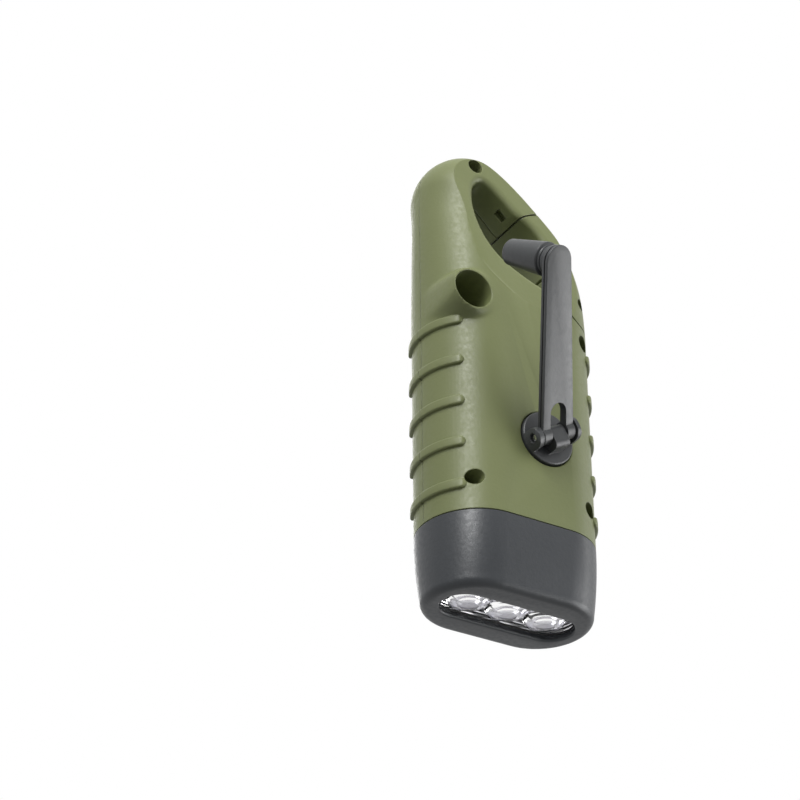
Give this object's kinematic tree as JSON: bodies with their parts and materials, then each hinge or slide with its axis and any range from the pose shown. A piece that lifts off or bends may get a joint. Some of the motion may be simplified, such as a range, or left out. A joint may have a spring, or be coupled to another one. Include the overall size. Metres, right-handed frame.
{
  "type": "hand crank flashlight",
  "caption": "Green and charcoal pocket torch with a fold-out crank, a solar panel, a carabiner loop and a row of lamps in its head, with gear train and dynamo inside.",
  "frame": {"origin": "middle of the overall box at rest, on the plane of the lens rim", "axes": "+Z from the lens rim up to the tip of the loop, +Y out of the crank side, -Y out of the solar panel, +X towards the loop's closed spine and -X towards its gate"},
  "size_m": [0.0544, 0.0722, 0.144],
  "materials": {
    "green_abs": "olive green, finely textured moulding",
    "black_abs": "charcoal, satin moulding",
    "clear_lens": "clear acrylic",
    "chrome_cups": "mirror-plated cups",
    "led_epoxy": "clear epoxy",
    "solar_cells": "copper brown cells with pale contact lines",
    "button_rubber": "soft button",
    "rubber": "black gasket",
    "steel": "plated steel",
    "iron": "stacked iron sheet",
    "copper": "enamelled copper wire",
    "ferrite": "grey bonded ferrite",
    "white_nylon": "natural nylon",
    "switch_black": "plain",
    "board": "green solder mask"
  },
  "bodies": {
    "housing": {"front_shell": "green_abs", "rear_shell": "green_abs", "gate_pin": "steel", "gate_spring": "steel", "head_bezel": "black_abs", "lens_gasket": "rubber", "lens_window": "clear_lens", "reflector": "chrome_cups", "led_board": "board", "solar_bezel": "black_abs", "solar_window": "clear_lens", "solar_cell": "solar_cells", "main_board": "board", "tact_switch": "switch_black", "gear_plate": "white_nylon", "crank_bush": "white_nylon", "idler_pin_1": "steel", "idler_pin_2": "steel", "rotor_pin": "steel", "stator_core": "iron", "coil_bobbin": "white_nylon", "coil_winding": "copper", "shell_screw_1": "steel", "shell_screw_2": "steel", "shell_screw_3": "steel", "shell_screw_4": "steel", "plate_screw_1": "steel", "plate_screw_2": "steel", "plate_screw_3": "steel", "led_1": "led_epoxy", "led_2": "led_epoxy", "led_3": "led_epoxy", "battery_cell_1": "steel", "battery_cell_2": "steel", "battery_cell_3": "steel"},
    "crank": {"crank_hub": "black_abs", "hub_screw": "steel", "drive_gear": "white_nylon", "fold_pin": "steel"},
    "arm": {"crank_arm": "black_abs", "knob_pin": "steel"},
    "knob": {"crank_knob": "black_abs"},
    "gate": {"gate": "green_abs"},
    "idler_1": {"idler_gear_1": "white_nylon"},
    "idler_2": {"idler_gear_2": "white_nylon"},
    "rotor": {"rotor_pinion": "white_nylon", "rotor_magnet": "ferrite"},
    "button": {"power_button": "button_rubber"}
  },
  "joints": [
    {"name": "crank_spin", "type": "hinge", "parent": "housing", "child": "crank", "pos_m": [-0.00304, -0.00061, 0.048], "axis": [0, 1, 0], "continuous": true},
    {"name": "arm_fold", "type": "hinge", "parent": "crank", "child": "arm", "pos_m": [-0.00304, 0.00289, 0.048], "axis": [-0.8829, 0, 0.4695], "range_deg": [-38, 142]},
    {"name": "knob_spin", "type": "hinge", "parent": "arm", "child": "knob", "pos_m": [0.01454, 0.03213, 0.08105], "axis": [-0.289, 0.788, -0.5436], "continuous": true},
    {"name": "gate_swing", "type": "hinge", "parent": "housing", "child": "gate", "pos_m": [-0.01815, -0.01761, 0.09818], "axis": [0, 1, 0], "range_deg": [0, 25], "stiffness_Nm_per_rad": 0.02},
    {"name": "power_button", "type": "slide", "parent": "housing", "child": "button", "axis": [1, 0, 0], "range_m": [0, 0.0007], "stiffness_N_per_m": 800},
    {"name": "idler_1_spin", "type": "hinge", "parent": "housing", "child": "idler_1", "pos_m": [0.00715, -0.01161, 0.05818], "axis": [0, 1, 0], "continuous": true},
    {"name": "idler_2_spin", "type": "hinge", "parent": "housing", "child": "idler_2", "pos_m": [-0.00388, -0.01161, 0.06744], "axis": [0, 1, 0], "continuous": true},
    {"name": "rotor_spin", "type": "hinge", "parent": "housing", "child": "rotor", "pos_m": [-0.01314, -0.01761, 0.05641], "axis": [0, 1, 0], "continuous": true}
  ],
  "couplings": [
    {"joint": "idler_1_spin", "follows": "crank_spin", "ratio": -3},
    {"joint": "idler_2_spin", "follows": "crank_spin", "ratio": 9},
    {"joint": "rotor_spin", "follows": "crank_spin", "ratio": -27}
  ]
}
